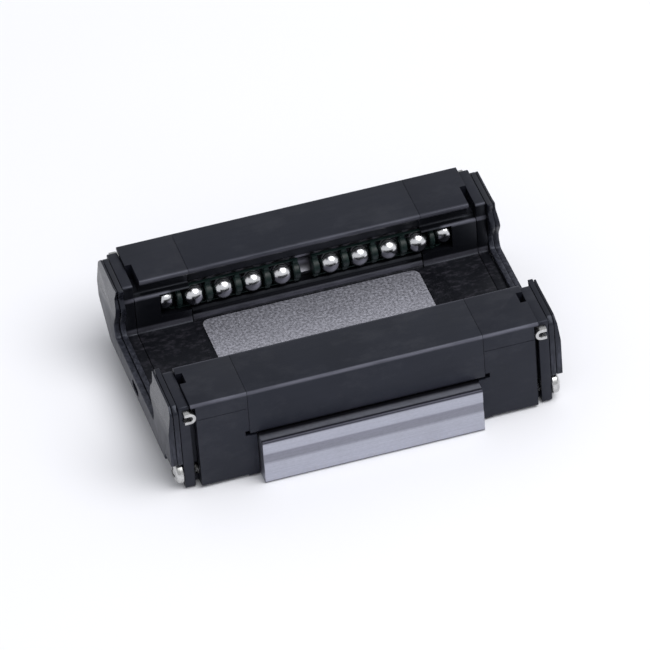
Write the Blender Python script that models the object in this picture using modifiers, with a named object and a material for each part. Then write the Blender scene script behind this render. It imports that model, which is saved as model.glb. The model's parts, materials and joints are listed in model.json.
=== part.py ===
"""Miniature linear guide carriage with two caged-ball circuits, size 15.

The carriage lies on its mounting face, so the channel for the rail opens upwards:
+X runs along the rail (front end), +Y is the left leg and the mounting face is z = 0.
Every dimension below is in millimetres and becomes metres where the meshes are made.
"""
import math

import bmesh
import bpy
from mathutils import Matrix

MM = 0.001
GAP = 0.05                      # space left between two fitted pieces

# Whole carriage
LENGTH = 43.0                   # over the two end seals
WIDTH = 32.0                    # over the ground steel side faces
HEIGHT = 11.3                   # leg tops above the mounting face
RESIN_WIDTH = 28.8              # over the resin legs
RESIN_FOOT = 0.25               # resin stays this far above the mounting face
EDGE = 0.35                     # chamfer along the leg tops
INNER_EDGE_Y = 7.8              # where a leg's flat top begins
GROOVE_DEPTH = 0.7              # groove along the side, between steel flange and resin
GROOVE_TOP = 6.2

# Rail channel
CHANNEL_WIDTH = 15.1            # clear width for a 15 mm rail
FLOOR = 4.5                     # channel floor above the mounting face
WALL_LIP = 10.75                # foot of the short upright face under a leg's inner top edge
UNDERCUT_Y = 8.45               # depth of the groove below the leg's inner top edge
LEDGE_Z = 9.1                   # top of the wall that carries the balls in the end blocks

# Steel block
STEEL_LENGTH = 25.7
FLANGE_TOP = 5.5                # top of the side flanges
BAND_LOW = 2.5                  # shallow relief along the ground side faces
BAND_HIGH = 3.9
BAND_DEPTH = 0.1
STEEL_LEG_TOP = 10.2
STEEL_LEG_INNER = 8.9
STEEL_LEG_OUTER = 11.3
FLOOR_RECESS = 0.4              # step around the raised land in the channel floor
LAND_LENGTH = 24.2
LAND_WIDTH = 14.6
LAND_RADIUS = 0.9
NOTCH_LENGTH = 0.8              # flange corners, filled by the end blocks' lips
NOTCH_WIDTH = 2.6
HOLE_SPACING_X = 20.0           # tapped M3 mounting holes
HOLE_SPACING_Y = 25.0
HOLE_DIAMETER = 2.5
HOLE_DEPTH = 4.2

# Ball circuits: a loaded row, two half-round turns and a return row in one flat loop
BALL = 2.381
BALL_Z = 7.5
LOAD_Y = 8.2
PITCH = 3.25                    # from ball to ball along the belt
BELT_GAP = 5.4                  # from ball to ball where the open belt's ends meet
LOAD_BALLS = 8
RETURN_BALLS = 9
TURN_BALLS = 2
TURN_RADIUS = (6 * PITCH - BELT_GAP) / (2 * math.pi)
TURN_X = BELT_GAP / 2 + 3.5 * PITCH
RETURN_Y = LOAD_Y + 2 * TURN_RADIUS
TURN_Y = LOAD_Y + TURN_RADIUS
RACEWAY_RADIUS = 1.26
PASSAGE_HALF_HEIGHT = 1.45
PASSAGE_SIDE = 0.19             # side clearance of a ball in a resin passage

# Ball cage (an open belt)
RUNG_THICKNESS = 0.7
FULL_RUNG = 1.0                 # in the return row, where the rungs meet the balls
RUNG_WIDTH = 1.0
RUNG_HEIGHT = 2.6
RAIL_INNER = 1.25               # belt rails lie above and below the balls
RAIL_OUTER = 1.38
RAIL_WIDTH = 0.36
RAIL_INSET = 0.15               # rails run this far inside the loop of ball centres

# Ends, as distances from the carriage's middle
SEAM_X = STEEL_LENGTH / 2 + GAP
BLOCK_END = 19.0
SLIT_WIDTH = 0.5
SLIT_DEPTH = 1.4
SLIT_TOP = 10.85
TOP_NOTCH_LENGTH = 0.7
TOP_NOTCH_DEPTH = 1.9
TOP_NOTCHES = {"left": (6.55, 10.8), "right": (8.8, 10.5)}
PLATE_START = 19.05
PLATE_END = 20.2
PLATE_WIDTH = 27.9
PLATE_TOP = 10.95
SCRAPER_START = 20.25
SCRAPER_END = 20.8
SEAL_START = 20.85
SEAL_FOOT = 2.4                 # lower edge of the seals
SEAL_CORNER = 3.35              # top of the square relief over the right screw heads
SEAL_SLOPE = ((10.0, 2.4), (13.95, 5.8))    # lower corner at the left leg
SEAL_SHOULDER = 0.75
SEAL_LIP = ((8.0, 10.95), (6.95, 11.15), (7.4, 9.95), (6.7, 8.9), (6.7, 8.1), (7.7, 6.4),
            (7.7, 5.6))         # lips that wipe the rail's side
SEAL_THROAT = (7.3, 4.75)
SCRAPER_LIP = 0.2               # the scraper's lips reach this much nearer to the rail
SEAL_BEVEL = 0.12
LEAN_START = 7.7                # above this the seal's face leans back
LEAN_DEPTH = 0.45
PORT_WIDTH = 2.4                # grease port in the middle of each end
PORT_LOW = 2.95
PORT_HIGH = 4.05
PORT_DEPTH = 0.6

# Screws and clips that hold the ends together
SCREW_Y = 12.9
SCREW_Z = 1.85
SCREW_HEAD = 2.6
SCREW_HEAD_HEIGHT = 1.0
SCREW_SHANK = 1.4
SCREW_LENGTH = 5.0
SCREW_CLEARANCE = 0.1
SCREW_SINK = {"left": 0.5, "right": 0.0}    # depth of the step in the plate under a head
HEAD_CLEARANCE = 0.08
CLIP_RADIUS = 0.95
CLIP_WALL = 0.35
CLIP_X = 19.5
CLIP_Z = 9.8
CLIP_ARM = 0.3
CLIP_DEPTH = 1.3

ENDS = {"front": 1, "rear": -1}
SIDES = {"left": 1, "right": -1}

# Orientation of a flat outline: its own X, Y and thickness in world axes
ALONG_X = Matrix(((0, 0, 1, 0), (1, 0, 0, 0), (0, 1, 0, 0), (0, 0, 0, 1)))
ALONG_Y = Matrix(((1, 0, 0, 0), (0, 0, -1, 0), (0, 1, 0, 0), (0, 0, 0, 1)))
ALONG_Z = Matrix.Identity(4)


# ---------------------------------------------------------------- helpers

def start_clean():
    """Empty the scene and make one collection for the parts and one for the cutters."""
    for obj in list(bpy.data.objects):
        bpy.data.objects.remove(obj, do_unlink=True)
    parts = bpy.data.collections.new("linear_guide_carriage")
    cutters = bpy.data.collections.new("cutters")
    for collection in (parts, cutters):
        bpy.context.scene.collection.children.link(collection)
    return parts, cutters


PARTS, CUTTERS = start_clean()


def material(name, colour, roughness, metallic=0.0):
    """A Principled material."""
    made = bpy.data.materials.new(name)
    made.use_nodes = True
    shader = made.node_tree.nodes["Principled BSDF"]
    shader.inputs["Base Color"].default_value = (*colour, 1.0)
    shader.inputs["Roughness"].default_value = roughness
    shader.inputs["Metallic"].default_value = metallic
    return made


def resin(name):
    return material(name, (0.030, 0.032, 0.042), 0.45)


def rubber(name):
    return material(name, (0.022, 0.022, 0.027), 0.6)


def cage_resin(name):
    return material(name, (0.015, 0.045, 0.035), 0.4)


def ground_steel(name):
    return material(name, (0.46, 0.46, 0.50), 0.35, 1.0)


def bright_steel(name):
    return material(name, (0.75, 0.75, 0.76), 0.15, 1.0)


def cutter(obj):
    """Move an object to the cutters, where it shows as a wire and isn't built."""
    for collection in obj.users_collection:
        collection.objects.unlink(obj)
    CUTTERS.objects.link(obj)
    obj.hide_render = True
    obj.display_type = "WIRE"
    return obj


def combine(obj, tool, operation):
    """Cut a tool from an object, or join it, with an exact Boolean."""
    cutter(tool)
    boolean = obj.modifiers.new(tool.name, "BOOLEAN")
    boolean.operation = operation
    boolean.object = tool
    boolean.solver = "EXACT"


def tidy(mesh):
    """Weld a mesh's loose caps and turn its faces outwards."""
    bm = bmesh.new()
    bm.from_mesh(mesh)
    bmesh.ops.remove_doubles(bm, verts=bm.verts, dist=1e-7)
    bmesh.ops.recalc_face_normals(bm, faces=bm.faces)
    bm.to_mesh(mesh)
    bm.free()


def evaluated_mesh(obj):
    """The mesh of a curve or of an object with its modifiers; the object is removed."""
    mesh = bpy.data.meshes.new_from_object(obj.evaluated_get(bpy.context.evaluated_depsgraph_get()))
    bpy.data.objects.remove(obj, do_unlink=True)
    tidy(mesh)
    return mesh


def add_part(name, mesh, finish=None, place=Matrix.Identity(4), group=None):
    """Put a mesh in the parts collection under its node's name, at a place or in a group."""
    obj = bpy.data.objects.new(name, mesh)
    PARTS.objects.link(obj)
    if finish:
        obj.data.materials.clear()
        obj.data.materials.append(finish(name))
    if group:
        obj.parent = group
        place = Matrix.Translation(-group.location) @ place
    obj.matrix_local = place
    return obj


def moving_group(name, centre):
    """An empty on a moving body's joint axis, which carries the body's pieces."""
    group = bpy.data.objects.new(name, None)
    PARTS.objects.link(group)
    group.location = [value * MM for value in centre]
    return group


def outline_solid(name, points, low, high, orientation, finish=None, edge=0.0):
    """A flat closed outline given a thickness from low to high; edge rounds its rim."""
    curve = bpy.data.curves.new(name, "CURVE")
    curve.dimensions = "2D"
    curve.fill_mode = "BOTH"
    curve.extrude = ((high - low) / 2 - edge) * MM
    curve.bevel_depth = edge * MM
    curve.bevel_resolution = 0
    curve.offset = -edge * MM
    spline = curve.splines.new("POLY")
    spline.points.add(len(points) - 1)
    for point, (x, y) in zip(spline.points, points):
        point.co = (x * MM, y * MM, 0.0, 1.0)
    spline.use_cyclic_u = True
    flat = bpy.data.objects.new(name, curve)
    PARTS.objects.link(flat)
    place = Matrix.Translation(orientation.to_3x3().col[2] * (low + high) / 2 * MM) @ orientation
    return add_part(name, evaluated_mesh(flat), finish, place)


def box(name, x_range, y_range, z_range):
    """A box between two limits on each axis, made of an outline in plan."""
    (x0, x1), (y0, y1) = sorted(x_range), sorted(y_range)
    corners = [(x0, y0), (x1, y0), (x1, y1), (x0, y1)]
    return outline_solid(name, corners, *sorted(z_range), ALONG_Z)


def arc(centre_x, centre_y, radius, start, stop, steps):
    """Points on an arc, with its angles in degrees."""
    angles = (math.radians(start + (stop - start) * i / steps) for i in range(steps + 1))
    return [(centre_x + radius * math.cos(a), centre_y + radius * math.sin(a)) for a in angles]


def both_sides(half):
    """A whole outline from its +Y half, listed from the bottom round to the middle."""
    return half + [(-y, z) for y, z in reversed(half)]


def rounded_rectangle(half_x, half_y, radius, steps=5):
    """A rectangle about the origin with round corners."""
    x, y = half_x - radius, half_y - radius
    points = []
    for corner_x, corner_y, start in ((x, y, 0), (-x, y, 90), (-x, -y, 180), (x, -y, 270)):
        points += arc(corner_x, corner_y, radius, start, start + 90, steps)
    return points


def turned(name, profile, steps):
    """A turned mesh about the local Z axis from a profile that runs down its outer side."""
    mesh = bpy.data.meshes.new(name)
    vertices = [(radius * MM, 0.0, height * MM) for radius, height in profile]
    mesh.from_pydata(vertices, [(i, i + 1) for i in range(len(profile) - 1)], [])
    obj = bpy.data.objects.new(name, mesh)
    PARTS.objects.link(obj)
    screw = obj.modifiers.new("turn", "SCREW")
    screw.steps = steps
    screw.render_steps = steps
    screw.use_merge_vertices = True
    screw.merge_threshold = 1e-6
    return evaluated_mesh(obj)


def copies(name, mesh, places, finish=None, group=None):
    """Copies of a mesh at several places in one object, such as a row of cutters."""
    origin = Matrix.Translation(group.location) if group else Matrix.Identity(4)
    bm = bmesh.new()
    for place in places:
        moved = mesh.copy()
        moved.transform(origin.inverted() @ place)
        bm.from_mesh(moved)
        bpy.data.meshes.remove(moved)
    joined = bpy.data.meshes.new(name)
    bm.to_mesh(joined)
    bm.free()
    return add_part(name, joined, finish, origin, group)


def mesh_in_place(blank):
    """The mesh of a helper object with its placement applied; the object is removed."""
    mesh = blank.data
    mesh.transform(blank.matrix_local)
    bpy.data.objects.remove(blank)
    return mesh


def at(x, y, z):
    """A placement at a point given in millimetres."""
    return Matrix.Translation((x * MM, y * MM, z * MM))


def smooth(obj):
    """Shade the round faces smooth and keep the edges sharp."""
    obj.data.shade_smooth()
    obj.data.set_sharp_from_angle(angle=math.radians(35))


# ---------------------------------------------------------------- steel block

def steel_profile():
    """Section across the steel block: flanged web, two legs and their raceways."""
    side = WIDTH / 2
    edge = 0.3
    opening = math.degrees(math.acos((STEEL_LEG_INNER - LOAD_Y) / RACEWAY_RADIUS))
    half = [(side - edge, 0), (side, edge), (side, BAND_LOW),
            (side - BAND_DEPTH, BAND_LOW + BAND_DEPTH),
            (side - BAND_DEPTH, BAND_HIGH - BAND_DEPTH), (side, BAND_HIGH),
            (side, FLANGE_TOP - edge), (side - edge, FLANGE_TOP),
            (STEEL_LEG_OUTER, FLANGE_TOP), (STEEL_LEG_OUTER, STEEL_LEG_TOP),
            (STEEL_LEG_INNER, STEEL_LEG_TOP)]
    half += arc(LOAD_Y, BALL_Z, RACEWAY_RADIUS, opening, -opening, 8)
    half.append((STEEL_LEG_INNER, FLOOR - FLOOR_RECESS))
    return both_sides(half)


def make_steel_block():
    half = STEEL_LENGTH / 2
    block = outline_solid("steel_block", steel_profile(), -half, half, ALONG_X, ground_steel)
    land_outline = rounded_rectangle(LAND_LENGTH / 2, LAND_WIDTH / 2, LAND_RADIUS)
    land = outline_solid("floor_land", land_outline, FLOOR - 2 * FLOOR_RECESS, FLOOR, ALONG_Z)
    combine(block, land, "UNION")

    core = HOLE_DIAMETER / 2
    profile = [(0, HOLE_DEPTH + 0.7), (core, HOLE_DEPTH), (core, 0.35), (core + 0.35, 0),
               (core + 0.35, -1), (0, -1)]
    hole = turned("hole", profile, 16)
    places = [at(x * HOLE_SPACING_X / 2, y * HOLE_SPACING_Y / 2, 0)
              for x in (-1, 1) for y in (-1, 1)]
    combine(block, copies("mounting_holes", hole, places), "DIFFERENCE")

    for x in (-1, 1):
        for y in (-1, 1):
            corner = box("flange_notch", (x * (half - NOTCH_LENGTH), x * (half + 1)),
                         (y * (WIDTH / 2 - NOTCH_WIDTH), y * (WIDTH / 2 + 1)),
                         (-1, FLANGE_TOP + 1))
            combine(block, corner, "DIFFERENCE")
    smooth(block)


# ---------------------------------------------------------------- resin on the steel legs

def make_leg_cover(side_name, side):
    """C-shaped cover over one steel leg, with the return row's passage in it."""
    outer = RESIN_WIDTH / 2
    inner = CHANNEL_WIDTH / 2
    passage = RETURN_Y + BALL / 2 + PASSAGE_SIDE - GAP
    wall = STEEL_LEG_OUTER + 2 * GAP
    low, high = BALL_Z - PASSAGE_HALF_HEIGHT, BALL_Z + PASSAGE_HALF_HEIGHT
    groove = outer - GROOVE_DEPTH
    foot = FLANGE_TOP + 2 * GAP
    roof = STEEL_LEG_TOP + 2 * GAP
    back = STEEL_LEG_INNER - 2 * GAP
    section = [(outer, GROOVE_TOP), (outer, HEIGHT - EDGE), (outer - EDGE, HEIGHT),
               (INNER_EDGE_Y, HEIGHT), (inner, HEIGHT - 0.2), (inner, WALL_LIP),
               (UNDERCUT_Y, STEEL_LEG_TOP), (UNDERCUT_Y, LEDGE_Z), (back, LEDGE_Z),
               (back, roof), (wall, roof), (wall, high), (passage, high), (passage, low),
               (wall, low), (wall, foot), (groove, foot), (groove, GROOVE_TOP)]
    end = SEAM_X - 2 * GAP
    outline_solid(f"leg_cover_{side_name}", [(side * y, z) for y, z in section],
                  -end, end, ALONG_X, resin)


def make_retainer(side_name, side):
    """Resin strip along the foot of the channel wall, below the loaded balls."""
    inner = CHANNEL_WIDTH / 2
    back = STEEL_LEG_INNER - 2 * GAP
    foot = FLOOR - FLOOR_RECESS + 2 * GAP
    lip = BALL_Z - RAIL_OUTER - 0.1
    land_side = LAND_WIDTH / 2 + 2 * GAP
    section = [(land_side, foot), (land_side, FLOOR), (inner, FLOOR), (inner, FLOOR + 0.55),
               (inner + 0.2, FLOOR + 0.7), (inner + 0.1, lip - 0.35), (inner + 0.4, lip),
               (back, lip), (back, foot)]
    end = SEAM_X - 2 * GAP
    outline_solid(f"ball_retainer_{side_name}", [(side * y, z) for y, z in section],
                  -end, end, ALONG_X, resin)


# ---------------------------------------------------------------- ends

def block_section():
    """Section of an end block: a U with chamfered tops and foot corners."""
    outer, inner = RESIN_WIDTH / 2, CHANNEL_WIDTH / 2
    return both_sides([
        (outer - 0.5, RESIN_FOOT), (outer, RESIN_FOOT + 0.5), (outer, HEIGHT - EDGE),
        (outer - EDGE, HEIGHT), (INNER_EDGE_Y, HEIGHT), (inner, HEIGHT - 0.2),
        (inner, WALL_LIP), (UNDERCUT_Y, STEEL_LEG_TOP), (UNDERCUT_Y, LEDGE_Z + 0.05),
        (inner + 0.15, LEDGE_Z), (inner, LEDGE_Z - 0.15), (inner, FLOOR)])


def plate_section():
    """Section of an end plate, a little lower and narrower than the end block."""
    outer, inner, foot = PLATE_WIDTH / 2, CHANNEL_WIDTH / 2, RESIN_FOOT - 0.1
    return both_sides([
        (outer - 0.4, foot), (outer, foot + 0.4), (outer, PLATE_TOP - EDGE),
        (outer - EDGE, PLATE_TOP), (INNER_EDGE_Y, PLATE_TOP), (inner, PLATE_TOP - 0.25),
        (inner, FLOOR)])


def pocket_outline(end, side, radius, back):
    """Plan of a turn: a half round about the turn's centre with a straight run back."""
    points = arc(TURN_X, TURN_Y, radius, -90, 90, 12)
    points += [(back, TURN_Y + radius), (back, TURN_Y - radius)]
    return [(end * x, side * y) for x, y in points]


def screw_holes(name, end, start, stop):
    """Clearance bores for an end's two screws, as one cutter."""
    radius = SCREW_SHANK / 2 + SCREW_CLEARANCE
    bore = turned("bore", [(0, stop), (radius, stop), (radius, start), (0, start)], 12)
    along = Matrix.Rotation(math.radians(90 * end), 4, "Y")
    places = [at(0, side * SCREW_Y, SCREW_Z) @ along for side in SIDES.values()]
    return copies(name, bore, places)


def make_end_block(end_name, end):
    """Resin block that turns both ball rows, with its tongue in the channel floor."""
    block = outline_solid(f"end_block_{end_name}", block_section(),
                          *sorted((end * SEAM_X, end * BLOCK_END)), ALONG_X, resin)
    tongue = box(f"tongue_{end_name}", (end * (LAND_LENGTH / 2 - 1), end * (SEAM_X + 0.5)),
                 (-LAND_WIDTH / 2, LAND_WIDTH / 2), (FLOOR - FLOOR_RECESS + 2 * GAP, FLOOR))
    combine(block, tongue, "UNION")
    outer = RESIN_WIDTH / 2
    lip_inner = WIDTH / 2 - NOTCH_WIDTH + GAP
    lip_start = STEEL_LENGTH / 2 - NOTCH_LENGTH + GAP
    lip_range = (end * lip_start, end * (SEAM_X + 0.5))
    for side_name, side in SIDES.items():
        combine(block, box(f"lip_{end_name}_{side_name}", lip_range,
                           (side * lip_inner, side * outer), (RESIN_FOOT, FLANGE_TOP)), "UNION")
        combine(block, box(f"groove_{end_name}_{side_name}", lip_range,
                           (side * (outer - GROOVE_DEPTH), side * (outer + 1)),
                           (FLANGE_TOP + 2 * GAP, GROOVE_TOP)), "DIFFERENCE")
    around = rounded_rectangle(LAND_LENGTH / 2 + GAP, LAND_WIDTH / 2 + GAP, LAND_RADIUS)
    combine(block, outline_solid(f"land_space_{end_name}", around, 3, HEIGHT, ALONG_Z),
            "DIFFERENCE")

    pocket = TURN_RADIUS + BALL / 2 + PASSAGE_SIDE
    low, high = BALL_Z - PASSAGE_HALF_HEIGHT, BALL_Z + PASSAGE_HALF_HEIGHT
    slit = (end * (BLOCK_END - SLIT_WIDTH), end * (BLOCK_END + 1))
    top_notch = (end * (BLOCK_END - TOP_NOTCH_LENGTH), end * (BLOCK_END + 1))
    for side_name, side in SIDES.items():
        label = f"{end_name}_{side_name}"
        outline = pocket_outline(end, side, pocket, SEAM_X - 1)
        combine(block, outline_solid(f"pocket_{label}", outline, low, high, ALONG_Z),
                "DIFFERENCE")
        combine(block, box(f"side_slit_{label}", slit,
                           (side * (outer - SLIT_DEPTH), side * (outer + 1)),
                           (-1, SLIT_TOP)), "DIFFERENCE")
        combine(block, box(f"top_notch_{label}", top_notch,
                           [side * y for y in TOP_NOTCHES[side_name]],
                           (HEIGHT - TOP_NOTCH_DEPTH, HEIGHT + 1)), "DIFFERENCE")
    combine(block, screw_holes(f"block_bores_{end_name}", end,
                               PLATE_END - SCREW_LENGTH - 0.2, BLOCK_END + 1), "DIFFERENCE")
    smooth(block)


def make_turn_guide(end_name, end, side_name, side):
    """Inner half-round that the balls and their belt turn about."""
    radius = TURN_RADIUS - BALL / 2 - 0.15
    outline = pocket_outline(end, side, radius, SEAM_X + GAP)
    guide = outline_solid(f"turn_guide_{end_name}_{side_name}", outline,
                          BALL_Z - PASSAGE_HALF_HEIGHT + GAP,
                          BALL_Z + PASSAGE_HALF_HEIGHT - GAP, ALONG_Z, resin)
    smooth(guide)


def clip_outline(grow):
    """C-shaped bent clip in side view, open towards the carriage's end."""
    outer = CLIP_RADIUS + grow
    inner = CLIP_RADIUS - CLIP_WALL - grow
    points = [(CLIP_ARM + grow, -outer)] + arc(0, 0, outer, -90, -270, 8)
    points += [(CLIP_ARM + grow, outer), (CLIP_ARM + grow, inner)]
    points += arc(0, 0, inner, -270, -90, 8) + [(CLIP_ARM + grow, -inner)]
    return points


def clip_places():
    """Where the four clips sit, one at the top of each leg's two ends."""
    half_turn = Matrix.Rotation(math.pi, 4, "Z")
    middle = RESIN_WIDTH / 2 - CLIP_DEPTH / 2
    return {(end, side): at(end * CLIP_X, side * middle, CLIP_Z)
            @ (Matrix.Identity(4) if end > 0 else half_turn)
            for end in ENDS.values() for side in SIDES.values()}


def clip_mesh(grow, depth):
    return mesh_in_place(
        outline_solid("clip", clip_outline(grow), -depth / 2, depth / 2, ALONG_Y))


def grease_port(name, end, start):
    """Cutter for the grease port, from an end plate or seal outwards."""
    return box(name, (end * start, end * (LENGTH / 2 + 1)), (-PORT_WIDTH / 2, PORT_WIDTH / 2),
               (PORT_LOW, PORT_HIGH))


def make_end_plate(end_name, end):
    """Cover plate that closes an end block and carries the seal."""
    plate = outline_solid(f"end_plate_{end_name}", plate_section(),
                          *sorted((end * PLATE_START, end * PLATE_END)), ALONG_X, resin)
    seats = [place for (where, _), place in clip_places().items() if where == end]
    combine(plate, copies(f"clip_seats_{end_name}", clip_mesh(0.06, CLIP_DEPTH + 0.12), seats),
            "DIFFERENCE")
    combine(plate, screw_holes(f"plate_bores_{end_name}", end, PLATE_START - 1, PLATE_END + 1),
            "DIFFERENCE")
    reach = SCREW_HEAD / 2 + HEAD_CLEARANCE
    step = box(f"head_step_{end_name}", (end * (PLATE_END - SCREW_SINK["left"]), end * LENGTH / 2),
               (SCREW_Y - reach, WIDTH / 2), (-1, SCREW_Z + reach))
    combine(plate, step, "DIFFERENCE")
    combine(plate, grease_port(f"plate_port_{end_name}", end, PLATE_END - PORT_DEPTH),
            "DIFFERENCE")


def seal_side(lip, corner):
    """Half of a seal's section, from its lower edge round to the channel floor."""
    side = PLATE_WIDTH / 2
    shoulder = [(side, PLATE_TOP - SEAL_SHOULDER), (side - SEAL_SHOULDER, PLATE_TOP)]
    throat_y, throat_z = SEAL_THROAT
    return (list(corner) + shoulder + [(y - lip, z) for y, z in SEAL_LIP]
            + [(throat_y - lip, throat_z + lip)])


def seal_outline(lip):
    """Seal section over the screw heads: sloped at the left leg, square at the right."""
    relief = SCREW_Y - SCREW_HEAD / 2 - 0.3
    square = [(relief, SEAL_FOOT), (relief, SEAL_CORNER), (PLATE_WIDTH / 2, SEAL_CORNER)]
    right = seal_side(lip, square)
    return seal_side(lip, SEAL_SLOPE) + [(-y, z) for y, z in reversed(right)]


def make_scraper(end_name, end):
    """Rubber sheet clamped behind the seal, with the sharper lip."""
    sheet = outline_solid(f"scraper_{end_name}", seal_outline(SCRAPER_LIP),
                          *sorted((end * SCRAPER_START, end * SCRAPER_END)), ALONG_X, rubber)
    combine(sheet, grease_port(f"scraper_port_{end_name}", end, SCRAPER_START - 0.1),
            "DIFFERENCE")


def make_end_seal(end_name, end):
    """Outer end seal with a bevelled rim, its face leaning back towards the leg tops."""
    seal = outline_solid(f"end_seal_{end_name}", seal_outline(0.0),
                         *sorted((end * SEAL_START, end * LENGTH / 2)), ALONG_X, rubber,
                         edge=SEAL_BEVEL)
    face = LENGTH / 2
    lean = [(face, LEAN_START), (face + 1, LEAN_START), (face + 1, HEIGHT + 1),
            (face - LEAN_DEPTH, HEIGHT + 0.1), (face - LEAN_DEPTH, HEIGHT)]
    wedge = outline_solid(f"lean_{end_name}", [(end * x, z) for x, z in lean],
                          -WIDTH / 2, WIDTH / 2, ALONG_Y)
    combine(seal, wedge, "DIFFERENCE")
    combine(seal, grease_port(f"seal_port_{end_name}", end, SEAL_START - 0.1), "DIFFERENCE")


def screw_mesh(name, length):
    """Pan-head screw along local Z, its head's bearing face at the origin."""
    head, shank = SCREW_HEAD / 2, SCREW_SHANK / 2
    crown = [(head * math.sin(math.radians(a)),
              SCREW_HEAD_HEIGHT - 0.45 * (1 - math.cos(math.radians(a)))) for a in (0, 30, 60, 90)]
    profile = crown + [(head, 0), (shank, 0), (shank, 0.3 - length), (shank - 0.3, -length),
                       (0, -length)]
    screw = turned(name, profile, 14)
    screw.materials.append(bright_steel(name))
    return screw


def make_end_screws():
    """Two screws along X at each end; the left one's head is sunk in the plate."""
    for side_name, side in SIDES.items():
        sink = SCREW_SINK[side_name]
        screw = screw_mesh(f"screw_{side_name}", SCREW_LENGTH - sink)
        for end_name, end in ENDS.items():
            along = Matrix.Rotation(math.radians(90 * end), 4, "Y")
            place = at(end * (PLATE_END + GAP - sink), side * SCREW_Y, SCREW_Z) @ along
            smooth(add_part(f"end_screw_{end_name}_{side_name}", screw, place=place))


def make_seal_clips():
    """Bent spring clips beside the end plates, one at the top of each leg's two ends."""
    clip = clip_mesh(0, CLIP_DEPTH)
    clip.materials.append(bright_steel("clips"))
    places = clip_places()
    for end_name, end in ENDS.items():
        for side_name, side in SIDES.items():
            smooth(add_part(f"seal_clip_{end_name}_{side_name}", clip, place=places[end, side]))


# ---------------------------------------------------------------- ball circuits

def ball_mesh(name, segments, rings):
    mesh = bpy.data.meshes.new(name)
    bm = bmesh.new()
    bmesh.ops.create_uvsphere(bm, u_segments=segments, v_segments=rings, radius=BALL / 2 * MM)
    bm.to_mesh(mesh)
    bm.free()
    mesh.materials.append(bright_steel(name))
    return mesh


def rung_mesh(thickness):
    mesh = bpy.data.meshes.new("rung")
    bm = bmesh.new()
    bmesh.ops.create_cube(bm, size=MM)
    bmesh.ops.scale(bm, vec=(thickness, RUNG_WIDTH, RUNG_HEIGHT), verts=bm.verts)
    bm.to_mesh(mesh)
    bm.free()
    return mesh


def on_turn(distance, end, side):
    """Placement at a distance round a turn, counted from the loaded row."""
    angle = distance / TURN_RADIUS
    x = end * (TURN_X + TURN_RADIUS * math.sin(angle))
    y = side * (TURN_Y - TURN_RADIUS * math.cos(angle))
    return at(x, y, BALL_Z) @ Matrix.Rotation(end * side * angle, 4, "Z")


def add_belt(name, thickness, rungs, rail_outline, group):
    """A piece of belt: rungs between the balls joined by a rail above and one below."""
    piece = copies(name, rung_mesh(thickness), rungs, cage_resin, group)
    for level, sign in (("top", 1), ("bottom", -1)):
        low, high = sorted((BALL_Z + sign * RAIL_INNER, BALL_Z + sign * RAIL_OUTER))
        rail = outline_solid(f"{name}_{level}", rail_outline, low, high, ALONG_Z)
        combine(piece, rail, "UNION")
    return piece


def straight_rail(x0, x1, y):
    half = RAIL_WIDTH / 2
    return [(x0, y - half), (x1, y - half), (x1, y + half), (x0, y + half)]


def make_load_row(side_name, side):
    """Loaded balls along the channel, and the two belt ends that carry them."""
    y = side * LOAD_Y
    group = moving_group(f"load_row_{side_name}", (0, y, BALL_Z))
    ball = ball_mesh(f"load_balls_{side_name}", 12, 8)
    each = LOAD_BALLS // 2
    inner = BELT_GAP / 2 - PITCH / 2 - RUNG_THICKNESS / 2
    outer = TURN_X + RUNG_THICKNESS / 2
    for end_name, end in ENDS.items():
        for k in range(each):
            place = at(end * (BELT_GAP / 2 + k * PITCH), y, BALL_Z)
            name = f"load_ball_{side_name}_{end_name}_{k + 1}"
            smooth(add_part(name, ball, place=place, group=group))
        rungs = [at(end * (BELT_GAP / 2 + (k - 0.5) * PITCH), y, BALL_Z)
                 for k in range(each + 1)]
        rail = straight_rail(*sorted((end * inner, end * outer)), y + side * RAIL_INSET)
        add_belt(f"load_cage_{side_name}_{end_name}", RUNG_THICKNESS, rungs, rail, group)


def make_return_row(side_name, side):
    """Balls that travel back through the leg, joined to their length of belt."""
    y = side * RETURN_Y
    group = moving_group(f"return_row_{side_name}", (0, y, BALL_Z))
    last = RETURN_BALLS // 2
    rungs = [at((k + 0.5) * PITCH, y, BALL_Z) for k in range(-last, last)]
    rail = straight_rail(0.2 - TURN_X, TURN_X - 0.2, y - side * RAIL_INSET)
    train = add_belt(f"return_train_{side_name}", FULL_RUNG, rungs, rail, group)
    places = [at(k * PITCH, y, BALL_Z) for k in range(-last, last + 1)]
    balls = copies(f"return_balls_{side_name}", ball_mesh("return_ball", 8, 5), places)
    combine(train, balls, "UNION")
    smooth(train)


def make_turn(end_name, end, side_name, side):
    """Balls in one turn and their length of belt, about the turn's axis."""
    label = f"{end_name}_{side_name}"
    group = moving_group(f"turn_{label}", (end * TURN_X, side * TURN_Y, BALL_Z))
    ball = ball_mesh(f"turn_balls_{label}", 8, 6)
    for k in range(TURN_BALLS):
        place = on_turn((k + 0.5) * PITCH, end, side)
        smooth(add_part(f"turn_ball_{label}_{k + 1}", ball, place=place, group=group))
    rungs = [on_turn((k + 1) * PITCH, end, side) for k in range(TURN_BALLS)]
    start, stop = (math.degrees(s / TURN_RADIUS) - 90
                   for s in (0.5, 2 * PITCH + RUNG_THICKNESS / 2))
    middle, half = TURN_RADIUS - RAIL_INSET, RAIL_WIDTH / 2
    band = arc(TURN_X, TURN_Y, middle + half, start, stop, 7)
    band += arc(TURN_X, TURN_Y, middle - half, stop, start, 7)
    outline = [(end * x, side * y) for x, y in band]
    add_belt(f"turn_cage_{label}", RUNG_THICKNESS, rungs, outline, group)


# ---------------------------------------------------------------- build

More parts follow.
